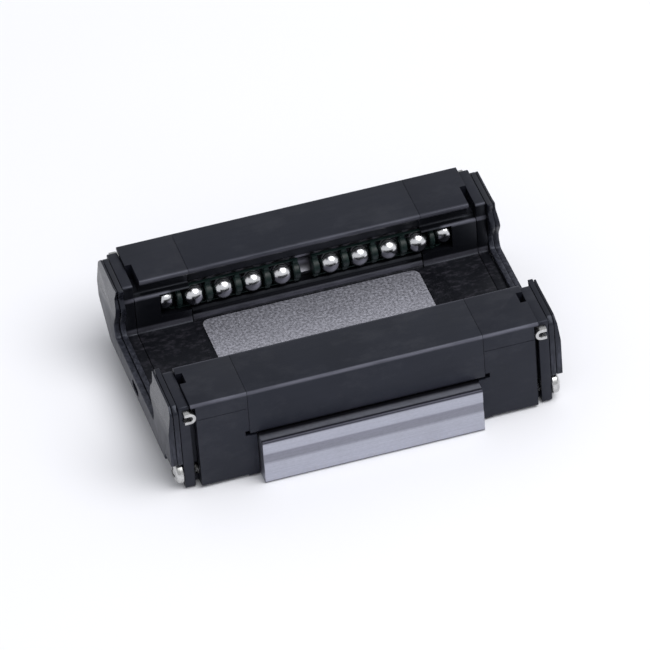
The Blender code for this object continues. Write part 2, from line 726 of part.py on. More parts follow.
make_steel_block()
for end_name, end in ENDS.items():
    make_end_block(end_name, end)
    make_end_plate(end_name, end)
    make_scraper(end_name, end)
    make_end_seal(end_name, end)
make_end_screws()
make_seal_clips()
for side_name, side in SIDES.items():
    make_leg_cover(side_name, side)
    make_retainer(side_name, side)
    make_load_row(side_name, side)
    make_return_row(side_name, side)
    for end_name, end in ENDS.items():
        make_turn_guide(end_name, end, side_name, side)
        make_turn(end_name, end, side_name, side)
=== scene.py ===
"""Finished look of the linear guide carriage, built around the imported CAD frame.

Every piece is modelled in millimetres in the frame's own axes (+X along the rail, +Y to the
left leg, mounting face at z = 0) and scaled to metres at the end.
"""
import json
import math

import bmesh
import bpy
from mathutils import Matrix, Vector


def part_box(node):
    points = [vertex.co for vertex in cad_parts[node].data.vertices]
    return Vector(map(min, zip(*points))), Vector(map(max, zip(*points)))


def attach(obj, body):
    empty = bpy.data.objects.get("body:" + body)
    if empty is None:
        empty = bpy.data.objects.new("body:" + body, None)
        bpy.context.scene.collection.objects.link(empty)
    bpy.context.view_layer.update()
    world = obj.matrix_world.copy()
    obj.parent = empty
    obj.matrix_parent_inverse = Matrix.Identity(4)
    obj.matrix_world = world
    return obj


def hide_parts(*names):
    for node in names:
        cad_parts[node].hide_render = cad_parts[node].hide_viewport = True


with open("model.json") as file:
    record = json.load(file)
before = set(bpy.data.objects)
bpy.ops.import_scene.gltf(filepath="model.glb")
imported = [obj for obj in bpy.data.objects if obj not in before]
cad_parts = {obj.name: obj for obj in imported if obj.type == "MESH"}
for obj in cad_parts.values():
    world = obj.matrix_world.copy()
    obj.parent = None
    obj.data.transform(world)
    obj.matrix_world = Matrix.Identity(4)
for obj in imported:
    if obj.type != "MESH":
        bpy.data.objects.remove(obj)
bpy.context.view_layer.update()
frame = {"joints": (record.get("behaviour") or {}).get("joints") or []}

MM = 0.001
ENDS = {"front": 1, "rear": -1}
SIDES = {"left": 1, "right": -1}


def cad_box(node):
    """Lowest and highest corner of a CAD node in millimetres."""
    low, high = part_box(node)
    return low / MM, high / MM


# ---------------------------------------------------------------- sizes read from the frame

STEEL_HIGH = cad_box("steel_block")[1]
COVER_LOW, COVER_HIGH = cad_box("leg_cover_left")
RETAINER_LOW, RETAINER_HIGH = cad_box("ball_retainer_left")
BLOCK_LOW, BLOCK_HIGH = cad_box("end_block_front")
PLATE_LOW, PLATE_HIGH = cad_box("end_plate_front")
SCRAPER_LOW, SCRAPER_HIGH = cad_box("scraper_front")
SEAL_LOW, SEAL_HIGH = cad_box("end_seal_front")
SCREW_LOW, SCREW_HIGH = cad_box("end_screw_front_left")
CLIP_LOW, CLIP_HIGH = cad_box("seal_clip_front_left")
GUIDE_LOW, GUIDE_HIGH = cad_box("turn_guide_front_left")
BALL_LOW, BALL_HIGH = cad_box("load_ball_left_front_1")
NEXT_HIGH = cad_box("load_ball_left_front_2")[1]
CAGE_LOW, CAGE_HIGH = cad_box("load_cage_left_front")

BALL = BALL_HIGH.z - BALL_LOW.z
BALL_Z = (BALL_HIGH.z + BALL_LOW.z) / 2
LOAD_Y = (BALL_HIGH.y + BALL_LOW.y) / 2
FIRST_BALL = (BALL_HIGH.x + BALL_LOW.x) / 2
PITCH = NEXT_HIGH.x - BALL_HIGH.x
HINGE = {joint["name"]: joint for joint in frame["joints"]}["turn_front_left_hinge"]
TURN_X = HINGE["pos_m"][0] / MM
TURN_Y = HINGE["pos_m"][1] / MM
TURN_RADIUS = TURN_Y - LOAD_Y
RETURN_Y = TURN_Y + TURN_RADIUS
LOAD_BALLS_EACH_END = 4
RETURN_BALLS_EACH_END = 4
TURN_BALLS = 2

HEIGHT = COVER_HIGH.z
RESIN_SIDE = COVER_HIGH.y
WALL_Y = COVER_LOW.y                # channel wall, half the channel's width
FLOOR = 4.5                         # channel floor
FLOOR_STEP = 0.4
LAND_X, LAND_Y, LAND_RADIUS = 12.1, 7.3, 0.9
CORNER_RADIUS = 0.28                # most corners of the outlines
WALL_LIP = 0.55                     # upright strip at the top of the channel wall
FLANGE_TOP = 5.5
RELIEF_LOW, RELIEF_HIGH, RELIEF_DEPTH = (2.45, 2.8), (3.65, 3.95), 0.1
CORNER_NOTCH_X, CORNER_NOTCH_Y = 0.8, 2.6
LEG_INNER, LEG_OUTER = 8.9, 11.3
RACEWAY_RADIUS = 1.26
PASSAGE_HALF_HEIGHT = 1.45
PASSAGE_CLEARANCE, TURN_CLEARANCE = 0.14, 0.19
LEDGE_Z = 9.1
UNDERCUT_Y = 8.45
LEG_TOP = 10.2
SEAM_X = 12.9
COVER_END = 12.87                   # the covers reach almost to the seam
LEG_ROOF = 10.3                     # inside of a cover over its steel leg
SLIT_WIDTH, SLIT_DEPTH, SLIT_TOP = 0.5, 1.4, 10.85
TOP_NOTCH, TOP_NOTCH_DEPTH = 0.7, 1.9
TOP_NOTCH_SPANS = {"left": (WALL_Y - 1, 10.8), "right": (8.8, 10.5)}
GROOVE_DEPTH, GROOVE_HEIGHT = 0.7, 0.6
LIP_INNER = 13.45
PARTING_LOW, PARTING_HIGH, PARTING_DEPTH = 9.14, 9.2, 0.04
BORE_RADIUS, BORE_START = 0.8, 14.9
HOLE_X, HOLE_Y = 10.0, 12.5
PORT_HALF_WIDTH, PORT_LOW, PORT_HIGH = 1.2, 2.95, 4.05
SEAL_CORNER = 3.35
SEAL_LIP = ((8.0, 10.95), (6.95, 11.15), (7.4, 9.95), (6.7, 8.9), (6.7, 8.1), (7.7, 6.4),
            (7.7, 5.6))
SEAL_THROAT_Y, SEAL_THROAT_RISE = 7.3, 0.25
SEAL_CHAMFER = 0.75
SEAL_SLOPE_Y, SEAL_SLOPE_Z = 10.0, 5.8
SCRAPER_SETBACK = 0.2
LEAN_START, LEAN_DEPTH = 7.7, 0.45
SCREW_Y = (SCREW_HIGH.y + SCREW_LOW.y) / 2
SCREW_Z = (SCREW_HIGH.z + SCREW_LOW.z) / 2
SCREW_HEAD = SCREW_HIGH.z - SCREW_LOW.z
RECESS_REACH, RECESS_HALF_WIDTH, RECESS_DEPTH = 0.75, 0.14, 0.5


# ---------------------------------------------------------------- mesh helpers (millimetres)

def arc(x, y, radius, start, stop, steps):
    """Points on an arc, with its angles in degrees."""
    angles = (math.radians(start + (stop - start) * i / steps) for i in range(steps + 1))
    return [(x + radius * math.cos(a), y + radius * math.sin(a)) for a in angles]


def both_sides(half):
    """A whole outline from its +Y half."""
    return half + [(-y, z) for y, z in reversed(half)]


def softened(outline, radius, steps=3):
    """The outline with each real corner rounded by a short curve."""
    points = []
    count = len(outline)
    for i, corner in enumerate(outline):
        here = Vector(corner)
        before = Vector(outline[i - 1]) - here
        after = Vector(outline[(i + 1) % count]) - here
        reach = min(radius, before.length * 0.45, after.length * 0.45)
        if before.angle(after) > math.radians(160) or reach < 0.02:
            points.append(corner)
            continue
        a, b = here + before.normalized() * reach, here + after.normalized() * reach
        for k in range(steps + 1):
            t = k / steps
            points.append(tuple(a * (1 - t) ** 2 + here * 2 * t * (1 - t) + b * t ** 2))
    return points


PLACES = {
    "X": lambda u, v, w: (w, u, v),
    "Y": lambda u, v, w: (u, w, v),
    "Z": lambda u, v, w: (u, v, w),
}


def new_object(name, bm):
    mesh = bpy.data.meshes.new(name)
    bm.to_mesh(mesh)
    bm.free()
    obj = bpy.data.objects.new(name, mesh)
    bpy.context.scene.collection.objects.link(obj)
    return obj


def prism(name, outline, low, high, axis, rim=0.0, segments=2):
    """An outline drawn out along an axis, with its two rims rounded."""
    low, high = min(low, high), max(low, high)
    place = PLACES[axis]
    bm = bmesh.new()
    ends = [[bm.verts.new(place(u, v, w)) for u, v in outline] for w in (low, high)]
    caps = [bm.faces.new(verts) for verts in ends]
    count = len(outline)
    for i in range(count):
        j = (i + 1) % count
        bm.faces.new((ends[0][i], ends[0][j], ends[1][j], ends[1][i]))
    bmesh.ops.recalc_face_normals(bm, faces=bm.faces)
    if rim:
        edges = list({edge for cap in caps for edge in cap.edges})
        bmesh.ops.bevel(bm, geom=edges, offset=rim, segments=segments, profile=0.5,
                        affect="EDGES", clamp_overlap=False)
    return new_object(name, bm)


def box(name, xs, ys, zs, rim=0.0):
    (x0, x1), (y0, y1), (z0, z1) = sorted(xs), sorted(ys), sorted(zs)
    return prism(name, [(x0, y0), (x1, y0), (x1, y1), (x0, y1)], z0, z1, "Z", rim)


def turned(name, profile, steps, place=Matrix.Identity(4)):
    """A solid of revolution about local Z from (radius, height) points; radius 0 closes it."""
    bm = bmesh.new()
    rings = []
    for radius, height in profile:
        if radius < 1e-6:
            rings.append([bm.verts.new(place @ Vector((0, 0, height)))])
            continue
        angles = (2 * math.pi * k / steps for k in range(steps))
        rings.append([bm.verts.new(place @ Vector((radius * math.cos(a), radius * math.sin(a),
                                                   height))) for a in angles])
    for one, two in zip(rings, rings[1:]):
        for k in range(steps):
            n = (k + 1) % steps
            corners = [one[k % len(one)], one[n % len(one)], two[n % len(two)], two[k % len(two)]]
            bm.faces.new(list(dict.fromkeys(corners)))
    bmesh.ops.recalc_face_normals(bm, faces=bm.faces)
    return new_object(name, bm)


def carve(obj, tools, operation="DIFFERENCE"):
    """Apply exact Booleans with the tools, which are used up."""
    for tool in tools:
        boolean = obj.modifiers.new("cut", "BOOLEAN")
        boolean.operation = operation
        boolean.object = tool
        boolean.solver = "EXACT"
        graph = bpy.context.evaluated_depsgraph_get()
        mesh = bpy.data.meshes.new_from_object(obj.evaluated_get(graph))
        obj.modifiers.clear()
        obj.data = mesh
        bpy.data.objects.remove(tool)
    return obj


def spread(name, mesh, places):
    """Copies of a mesh at several places, as one object."""
    bm = bmesh.new()
    for place in places:
        moved = mesh.copy()
        moved.transform(place)
        bm.from_mesh(moved)
        bpy.data.meshes.remove(moved)
    return new_object(name, bm)


def at(x, y, z):
    return Matrix.Translation((x, y, z))


def finish(obj, finish_material, body, nodes, angle=32.0):
    """Scale a piece to metres, shade it, and hand it to the frame."""
    mesh = obj.data
    mesh.transform(Matrix.Scale(MM, 4))
    mesh.shade_smooth()
    mesh.set_sharp_from_angle(angle=math.radians(angle))
    mesh.materials.clear()
    for made in finish_material if isinstance(finish_material, list) else [finish_material]:
        mesh.materials.append(made)
    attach(obj, body)
    if nodes:
        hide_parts(*nodes)
    return obj


# ---------------------------------------------------------------- materials

def set_range(node, start, stop, low, high):
    """Make a Map Range node turn start..stop into low..high."""
    for socket, number in (("From Min", start), ("From Max", stop), ("To Min", low),
                           ("To Max", high)):
        node.inputs[socket].default_value = number


class Finish:
    """A Principled material with short ways to add procedural detail in object coordinates."""

    def __init__(self, name, **values):
        self.material = bpy.data.materials.new(name)
        self.material.use_nodes = True
        self.tree = self.material.node_tree
        self.shader = self.tree.nodes["Principled BSDF"]
        self.coordinates = self.add("ShaderNodeTexCoord").outputs["Object"]
        for socket, value in values.items():
            self.shader.inputs[socket.replace("_", " ")].default_value = value

    def add(self, kind, **settings):
        node = self.tree.nodes.new(kind)
        for key, value in settings.items():
            setattr(node, key, value)
        return node

    def link(self, output, node_input):
        self.tree.links.new(output, node_input)

    def stretched(self, scale):
        mapping = self.add("ShaderNodeMapping")
        mapping.inputs["Scale"].default_value = scale
        self.link(self.coordinates, mapping.inputs["Vector"])
        return mapping.outputs["Vector"]

    def noise(self, size_mm, detail=3.0, stretch=None, roughness=0.55):
        """Noise with features of about this size, drawn out where stretch is under 1."""
        node = self.add("ShaderNodeTexNoise")
        node.inputs["Scale"].default_value = 1.0 / (size_mm * MM)
        node.inputs["Detail"].default_value = detail
        node.inputs["Roughness"].default_value = roughness
        vector = self.stretched(stretch) if stretch else self.coordinates
        self.link(vector, node.inputs["Vector"])
        return node.outputs["Fac"]

    def ranged(self, value, low, high, start=0.3, stop=0.7):
        node = self.add("ShaderNodeMapRange")
        set_range(node, start, stop, low, high)
        self.link(value, node.inputs["Value"])
        return node.outputs["Result"]

    def mixed(self, factor, first, second):
        """Blend two colours (or sockets) by a factor."""
        node = self.add("ShaderNodeMix", data_type="RGBA")
        for socket, value in ((node.inputs[6], first), (node.inputs[7], second)):
            if isinstance(value, tuple):
                socket.default_value = (*value, 1.0)
            else:
                self.link(value, socket)
        self.link(factor, node.inputs[0])
        return node.outputs[2]

    def combined(self, operation, first, second):
        node = self.add("ShaderNodeMath", operation=operation, use_clamp=True)
        for socket, value in ((node.inputs[0], first), (node.inputs[1], second)):
            if isinstance(value, (int, float)):
                socket.default_value = value
            else:
                self.link(value, socket)
        return node.outputs[0]

    def bump(self, value, strength, height_mm, previous=None):
        node = self.add("ShaderNodeBump")
        node.inputs["Strength"].default_value = strength
        node.inputs["Distance"].default_value = height_mm * MM
        self.link(value, node.inputs["Height"])
        if previous:
            self.link(previous, node.inputs["Normal"])
        return node.outputs["Normal"]

    def magnitude(self, value):
        node = self.add("ShaderNodeMath", operation="ABSOLUTE")
        self.link(value, node.inputs[0])
        return node.outputs[0]

    def place(self, axis):
        """One object coordinate in metres."""
        split = self.add("ShaderNodeSeparateXYZ")
        self.link(self.coordinates, split.inputs[0])
        return split.outputs[axis]

    def below(self, value, limit_mm, soft_mm=0.15):
        """A mask that is 1 where a length is under a limit."""
        return self.ranged(value, 1.0, 0.0, (limit_mm - soft_mm) * MM, (limit_mm + soft_mm) * MM)

    def above(self, value, limit_mm, soft_mm=0.15):
        """A mask that is 1 where a length is over a limit."""
        return self.ranged(value, 0.0, 1.0, (limit_mm - soft_mm) * MM, (limit_mm + soft_mm) * MM)

    def both(self, first, *others):
        """Masks multiplied together."""
        for other in others:
            first = self.combined("MULTIPLY", first, other)
        return first

    def use(self, **sockets):
        for name, output in sockets.items():
            self.link(output, self.shader.inputs[name.replace("_", " ")])
        return self.material


COOL_TINT = (0.80, 0.85, 1.0, 1.0)
# colour of the painted highlights on the resin's edges
EDGE_HIGHLIGHT_TONE = (0.120, 0.120, 0.150)
DIRT_TONE = (0.042, 0.039, 0.050)
SMEAR_TONE = (0.030, 0.031, 0.038)
DULL_RUBBER_TONE = (0.040, 0.042, 0.056)
BALL_LOWER_SHADE_TONE = (0.18, 0.18, 0.20)
STEEL_STAIN_TONE = (0.24, 0.23, 0.25)
STEEL_EDGE_SHADE_TONE = (0.050, 0.050, 0.065)
RACEWAY_SHADE_TONE = (0.17, 0.17, 0.19)
INSIDE_Y, INSIDE_TOP = 8.7, 10.8    # bounds of the channel side, painted darker as shade
DIRT_TOP = 5.1
LEDGE_HIGHLIGHT_X = 15.2                 # the ledge gets a painted highlight beyond this, toward each end
DULL_RUBBER_TOP = 7.4
DULL_BAND_LOW, DULL_BAND_HIGH = 2.6, 3.8
RACEWAY_Y, RACEWAY_FOOT = 9.6, 4.0


def resin_finish(name, dark, light, roughness, shine=0.34):
    """Moulded resin: very dark body with stains and dirt specks, painted highlights on the long
    edges, the ledge and the wall's foot, and a channel side darkened with painted shade.
    """
    made = Finish(name, Specular_IOR_Level=shine, Specular_Tint=COOL_TINT)
    cloud = made.noise(5.0, 4.0)
    speck = made.noise(0.14, 2.0)
    streak = made.noise(0.5, 3.0, stretch=(0.12, 1.0, 1.0))
    fleck = made.noise(0.60, 4.0, roughness=0.75, stretch=(0.6, 1.2, 1.0))
    smear = made.noise(4.0, 6.0, roughness=0.75, stretch=(0.6, 1.0, 1.0))
    along, across = made.magnitude(made.place("X")), made.magnitude(made.place("Y"))
    height = made.place("Z")
    tone = made.combined("ADD", made.ranged(cloud, 0.0, 0.6), made.ranged(speck, 0.0, 0.4))
    body = made.mixed(tone, dark, light)
    body = made.mixed(made.ranged(smear, 0.0, 0.35, 0.50, 0.66), body, SMEAR_TONE)
    inside = made.both(made.below(across, INSIDE_Y), made.below(height, INSIDE_TOP))
    # painted shade: the channel side is darkened to 0.3 of the dark tone
    body = made.mixed(inside, body, tuple(0.3 * c for c in dark))
    dirt = made.both(inside, made.below(height, DIRT_TOP),
                     made.ranged(fleck, 0.0, 0.5, 0.50, 0.66))
    body = made.mixed(dirt, body, DIRT_TONE)
    # painted highlight: the outer and inner top edges, the ledge and the wall's foot are painted
    # lighter, broken up by streaks
    outer_edge = made.both(made.above(across, RESIN_SIDE - 0.15, 0.09),
                           made.above(height, HEIGHT - 0.33, 0.12))
    inner_edge = made.both(made.below(across, WALL_Y + 0.22, 0.14),
                           made.above(height, HEIGHT - 0.5, 0.12), 0.55)
    ledge = made.both(made.below(across, WALL_Y + 0.25, 0.12), made.above(height, 8.82, 0.10),
                      made.below(height, LEDGE_Z + 0.2, 0.10),
                      made.above(along, LEDGE_HIGHLIGHT_X, 0.3))
    foot = made.both(inside, made.above(across, WALL_Y - 0.5, 0.1),
                     made.below(height, 5.15, 0.1), made.above(height, 4.6, 0.1), 0.6)
    painted_highlight = outer_edge
    for highlit_part in (inner_edge, ledge, foot):
        painted_highlight = made.combined("MAXIMUM", painted_highlight, highlit_part)
    painted_highlight = made.both(painted_highlight, made.ranged(streak, 0.40, 1.0))
    colour = made.mixed(painted_highlight, body, EDGE_HIGHLIGHT_TONE)
    rough = made.ranged(made.combined("ADD", made.combined("MULTIPLY", streak, 0.6),
                                      made.combined("MULTIPLY", speck, 0.4)),
                        roughness - 0.06, roughness + 0.08)
    normal = made.bump(speck, 0.10, 0.02)
    normal = made.bump(cloud, 0.10, 0.05, normal)
    return made.use(Base_Color=colour, Roughness=rough, Normal=normal)


def rubber_finish(name):
    """Oiled rubber, glossy in its upper part and duller and streaky lower down."""
    made = Finish(name, Specular_IOR_Level=0.36, Specular_Tint=COOL_TINT)
    cloud = made.noise(2.6, 4.0)
    speck = made.noise(0.12, 2.0)
    streak = made.noise(0.35, 4.0, stretch=(1.0, 1.0, 0.25), roughness=0.7)
    low = made.below(made.place("Z"), DULL_RUBBER_TOP, 0.8)
    tone = made.both(made.ranged(streak, 0.0, 1.0, 0.42, 0.66), low)
    body = made.mixed(made.ranged(cloud, 0.0, 1.0), (0.006, 0.0065, 0.010),
                      (0.011, 0.0118, 0.017))
    colour = made.mixed(tone, body, DULL_RUBBER_TONE)
    rough = made.combined("ADD", made.ranged(cloud, 0.22, 0.32),
                          made.combined("MULTIPLY", low, 0.16))
    normal = made.bump(speck, 0.06, 0.012)
    normal = made.bump(streak, 0.12, 0.03, normal)
    return made.use(Base_Color=colour, Roughness=rough, Normal=normal)


def cage_finish(name):
    made = Finish(name, Specular_IOR_Level=0.35)
    cloud = made.noise(0.8, 3.0)
    colour = made.mixed(made.ranged(cloud, 0.0, 1.0), (0.003, 0.009, 0.009),
                        (0.007, 0.020, 0.018))
    rough = made.ranged(cloud, 0.35, 0.55)
    return made.use(Base_Color=colour, Roughness=rough,
                    Normal=made.bump(made.noise(0.1), 0.1, 0.01))


def ball_finish(name):
    """Polished bearing steel with a thin mottled film tone, its lower half painted darker as
    painted shade.
    """
    made = Finish(name, Metallic=1.0)
    film = made.noise(0.7, 3.0)
    fine = made.noise(0.08, 2.0)
    colour = made.mixed(made.ranged(film, 0.0, 1.0), (0.72, 0.72, 0.75), (0.88, 0.88, 0.90))
    # painted shade: the lower half of each ball is painted a darker tone
    lower_half_shade = made.below(made.place("Z"), BALL_Z + 0.35, 0.20)
    colour = made.mixed(lower_half_shade, colour, BALL_LOWER_SHADE_TONE)
    rough = made.ranged(made.combined("MULTIPLY", film, fine), 0.17, 0.25, 0.1, 0.4)
    return made.use(Base_Color=colour, Roughness=rough,
                    Normal=made.bump(film, 0.03, 0.02))


def side_steel_finish(name):
    """Ground bearing steel: lengthwise marks, a duller relief band and stains, a painted dark
    reflection and painted shade on the top edges, and painted shade along the bottom edge and the
    raceway side.
    """
    made = Finish(name, Metallic=1.0)
    marks = made.noise(0.09, 4.0, stretch=(0.015, 1.0, 1.0), roughness=0.7)
    grain = made.noise(0.16, 3.0, stretch=(0.4, 1.0, 1.0), roughness=0.7)
    stain = made.noise(3.0, 4.0)
    height = made.place("Z")
    aside = made.magnitude(made.place("Y"))
    band = made.both(made.above(height, DULL_BAND_LOW), made.below(height, DULL_BAND_HIGH))
    tone = made.combined("ADD", made.ranged(marks, 0.0, 0.5), made.ranged(grain, 0.0, 0.5))
    bright = made.mixed(tone, (0.36, 0.37, 0.43), (0.50, 0.51, 0.58))
    dull = made.mixed(tone, (0.22, 0.223, 0.26), (0.31, 0.315, 0.37))
    body = made.mixed(band, bright, dull)
    body = made.mixed(made.ranged(stain, 0.0, 0.15, 0.5, 0.8), body, STEEL_STAIN_TONE)
    # painted dark reflection on the flange's top outer edge, and painted shade on the flange top
    # under the resin lip
    rim = made.combined("MAXIMUM", made.above(aside, 15.6, 0.1), made.below(aside, 14.8, 0.2))
    edge = made.both(rim, made.above(height, 5.2, 0.1), made.above(aside, 14.0))
    # painted shade along the bottom edge, where the block meets the floor
    sole = made.both(made.above(aside, 15.5), made.below(height, 0.2, 0.1),
                     made.above(height, 0.02, 0.01), 0.8)
    edge = made.combined("MAXIMUM", edge, sole)
    body = made.mixed(edge, body, STEEL_EDGE_SHADE_TONE)
    # painted shade: the raceway side inside the channel is painted darker
    raceway = made.both(made.below(aside, RACEWAY_Y), made.above(height, RACEWAY_FOOT))
    colour = made.mixed(raceway, body, RACEWAY_SHADE_TONE)
    rough = made.ranged(made.combined("ADD", made.combined("MULTIPLY", band, 0.25),
                                      made.combined("MULTIPLY", tone, 0.5)),
                        0.32, 0.55, 0.0, 0.75)
    return made.use(Base_Color=colour, Roughness=rough, Normal=made.bump(marks, 0.15, 0.01))


def floor_steel_finish(name):
    """Duller ground steel in the channel's floor, mottled by oil."""
    made = Finish(name, Metallic=1.0)
    marks = made.noise(0.07, 3.0, stretch=(0.06, 1.0, 1.0), roughness=0.7)
    mottle = made.noise(0.28, 4.0)
    stain = made.noise(3.0, 3.0)
    tone = made.combined("ADD", made.ranged(marks, 0.0, 0.3),
                         made.ranged(mottle, 0.0, 0.7, 0.38, 0.62))
    body = made.mixed(tone, (0.345, 0.345, 0.39), (0.64, 0.64, 0.71))
    colour = made.mixed(made.ranged(stain, 0.0, 0.35, 0.45, 0.7), body, (0.34, 0.34, 0.385))
    rough = made.ranged(mottle, 0.55, 0.75)
    normal = made.bump(marks, 0.25, 0.012)
    return made.use(Base_Color=colour, Roughness=rough,
                    Normal=made.bump(mottle, 0.12, 0.02, normal))


def plated_finish(name):
    made = Finish(name, Metallic=1.0)
    cloud = made.noise(0.5, 3.0)
    colour = made.mixed(made.ranged(cloud, 0.0, 1.0), (0.42, 0.42, 0.42), (0.62, 0.62, 0.61))
    return made.use(Base_Color=colour, Roughness=made.ranged(cloud, 0.18, 0.38),
                    Normal=made.bump(made.noise(0.06), 0.15, 0.008))


COVER_RESIN = resin_finish("cover_resin", (0.0056, 0.0064, 0.0108), (0.0094, 0.0106, 0.0172),
                           0.45)
BLOCK_RESIN = resin_finish("block_resin", (0.0058, 0.0064, 0.0106), (0.0098, 0.0107, 0.0168),
                           0.43)
INNER_RESIN = resin_finish("inner_resin", (0.0050, 0.0052, 0.0080), (0.0080, 0.0084, 0.0120),
                           0.40, shine=0.18)
RUBBER = rubber_finish("seal_rubber")
CAGE = cage_finish("cage_green")
BALL_STEEL = ball_finish("ball_steel")
SIDE_STEEL = side_steel_finish("ground_side_steel")
FLOOR_STEEL = floor_steel_finish("ground_floor_steel")
PLATED = plated_finish("plated_steel")


# ---------------------------------------------------------------- steel block

def rounded_rectangle(half_x, half_y, radius, steps=8):
    x, y = half_x - radius, half_y - radius
    points = []
    for corner_x, corner_y, start in ((x, y, 0), (-x, y, 90), (-x, -y, 180), (x, -y, 270)):
        points += arc(corner_x, corner_y, radius, start, start + 90, steps)
    return points


def tapped_hole(x, y):
    """Cutter for one M3 hole: a lead-in, then thread grooves down to a drilled tip."""
    core, major, pitch, depth = 1.25, 1.42, 0.5, 4.2
    profile = [(0, -1), (1.6, -1), (1.6, 0), (core, 0.35)]
    turns = int((depth - 0.9) / pitch)
    for k in range(turns):
        z = 0.45 + k * pitch
        profile += [(core, z), (major, z + 0.18), (major, z + 0.24), (core, z + 0.42)]
    profile += [(core, depth), (0, depth + 0.7)]
    return turned("hole", profile, 28, at(x, y, 0))


def make_steel_block():
    side, half = STEEL_HIGH.y, STEEL_HIGH.x
    opening = math.degrees(math.acos((LEG_INNER - LOAD_Y) / RACEWAY_RADIUS))
    groove = arc(LOAD_Y, BALL_Z, RACEWAY_RADIUS, opening, -opening, 20)
    relief = side - RELIEF_DEPTH
    flange = [(0.0, FLANGE_TOP), (0.0, 0.0), (side, 0.0), (side, RELIEF_LOW[0]),
              (relief, RELIEF_LOW[1]), (relief, RELIEF_HIGH[0]), (side, RELIEF_HIGH[1]),
              (side, FLANGE_TOP), (LEG_OUTER, FLANGE_TOP)]
    lower = [point for point in softened(flange, CORNER_RADIUS) if point[0] > 0.5]
    upper = [(LEG_OUTER, STEEL_HIGH.z - 0.2), (LEG_OUTER - 0.2, STEEL_HIGH.z),
             (LEG_INNER + 0.15, STEEL_HIGH.z), (LEG_INNER, STEEL_HIGH.z - 0.15)]
    profile = both_sides(lower + upper + groove + [(LEG_INNER, FLOOR - FLOOR_STEP)])
    block = prism("steel_block_finished", profile, -half, half, "X")
    land = prism("land", rounded_rectangle(LAND_X, LAND_Y, LAND_RADIUS),
                 FLOOR - 2 * FLOOR_STEP, FLOOR, "Z", 0.05)
    carve(block, [land], "UNION")
    cuts = []
    for x in (-1, 1):
        for y in (-1, 1):
            cuts.append(box("flange_notch", (x * (half - CORNER_NOTCH_X), x * (half + 1)),
                            (y * (side - CORNER_NOTCH_Y), y * (side + 1)),
                            (-1, FLANGE_TOP + 1)))
            cuts.append(tapped_hole(x * HOLE_X, y * HOLE_Y))
    carve(block, cuts)
    for face in block.data.polygons:
        level = FLOOR - 0.06 < face.center.z < FLOOR + 0.02
        if level and face.normal.z > 0.3 and abs(face.center.y) < LAND_Y + 0.1:
            face.material_index = 1
    indices = [face.material_index for face in block.data.polygons]
    finish(block, [SIDE_STEEL, FLOOR_STEEL], "carriage", ["steel_block"], 25)
    for face, index in zip(block.data.polygons, indices):
        face.material_index = index


# ---------------------------------------------------------------- resin over the steel legs

def make_leg_cover(side_name, side):
    passage, wall = RETURN_Y + BALL / 2 + PASSAGE_CLEARANCE, LEG_OUTER + 0.1
    low, high = BALL_Z - PASSAGE_HALF_HEIGHT, BALL_Z + PASSAGE_HALF_HEIGHT
    groove_y, groove_z = RESIN_SIDE - GROOVE_DEPTH, FLANGE_TOP + 0.2
    foot, roof = FLANGE_TOP + 0.1, LEG_ROOF
    outer = softened([(groove_y, groove_z), (RESIN_SIDE, groove_z), (RESIN_SIDE, HEIGHT),
                      (WALL_Y, HEIGHT), (WALL_Y, HEIGHT - WALL_LIP), (UNDERCUT_Y, LEG_TOP),
                      (UNDERCUT_Y, LEDGE_Z), (LEG_INNER - 0.1, LEDGE_Z),
                      (LEG_INNER - 0.1, roof)], CORNER_RADIUS, 4)
    section = [point for point in outer if point != (groove_y, groove_z)]
    section += [(wall, roof), (wall, high), (passage, high), (passage, low), (wall, low),
                (wall, foot), (groove_y, foot), (groove_y, groove_z)]
    cover = prism(f"cover_{side_name}", [(side * y, z) for y, z in section],
                  -COVER_END, COVER_END, "X", 0.02)
    finish(cover, COVER_RESIN, "carriage", [f"leg_cover_{side_name}"])


def make_retainer(side_name, side):
    back, foot, lip = RETAINER_HIGH.y, RETAINER_LOW.z, RETAINER_HIGH.z
    inner = RETAINER_LOW.y
    section = softened([(inner, foot), (inner, FLOOR), (WALL_Y, FLOOR), (WALL_Y, FLOOR + 0.55),
                        (WALL_Y + 0.2, FLOOR + 0.7), (WALL_Y + 0.06, lip - 0.35),
                        (WALL_Y + 0.4, lip), (back, lip), (back, foot)], 0.12)
    strip = prism(f"retainer_{side_name}", [(side * y, z) for y, z in section],
                  RETAINER_LOW.x, RETAINER_HIGH.x, "X", 0.04)
    finish(strip, INNER_RESIN, "carriage", [f"ball_retainer_{side_name}"])


# ---------------------------------------------------------------- ends

def end_section(corners):
    """A whole end outline from its +Y half, whose first and last corners are at y = 0."""
    half = softened(corners, CORNER_RADIUS, 4)
    return both_sides([point for point in half if point[0] > 0.5])


def block_section():
    corners = [(0.0, BLOCK_LOW.z), (RESIN_SIDE, BLOCK_LOW.z), (RESIN_SIDE, HEIGHT),
               (WALL_Y, HEIGHT), (WALL_Y, HEIGHT - WALL_LIP), (UNDERCUT_Y, LEG_TOP),
               (UNDERCUT_Y, LEDGE_Z + 0.05), (WALL_Y, LEDGE_Z), (WALL_Y, FLOOR), (0.0, FLOOR)]
    return end_section(corners)


def plate_section():
    side, top = PLATE_HIGH.y, PLATE_HIGH.z
    corners = [(0.0, PLATE_LOW.z), (side, PLATE_LOW.z), (side, top), (WALL_Y, top),
               (WALL_Y, FLOOR), (0.0, FLOOR)]
    return end_section(corners)


def turn_outline(end, side, radius, back, steps=28):
    points = arc(TURN_X, TURN_Y, radius, -90, 90, steps)
    points += [(back, TURN_Y + radius), (back, TURN_Y - radius)]
    return [(end * x, side * y) for x, y in points]


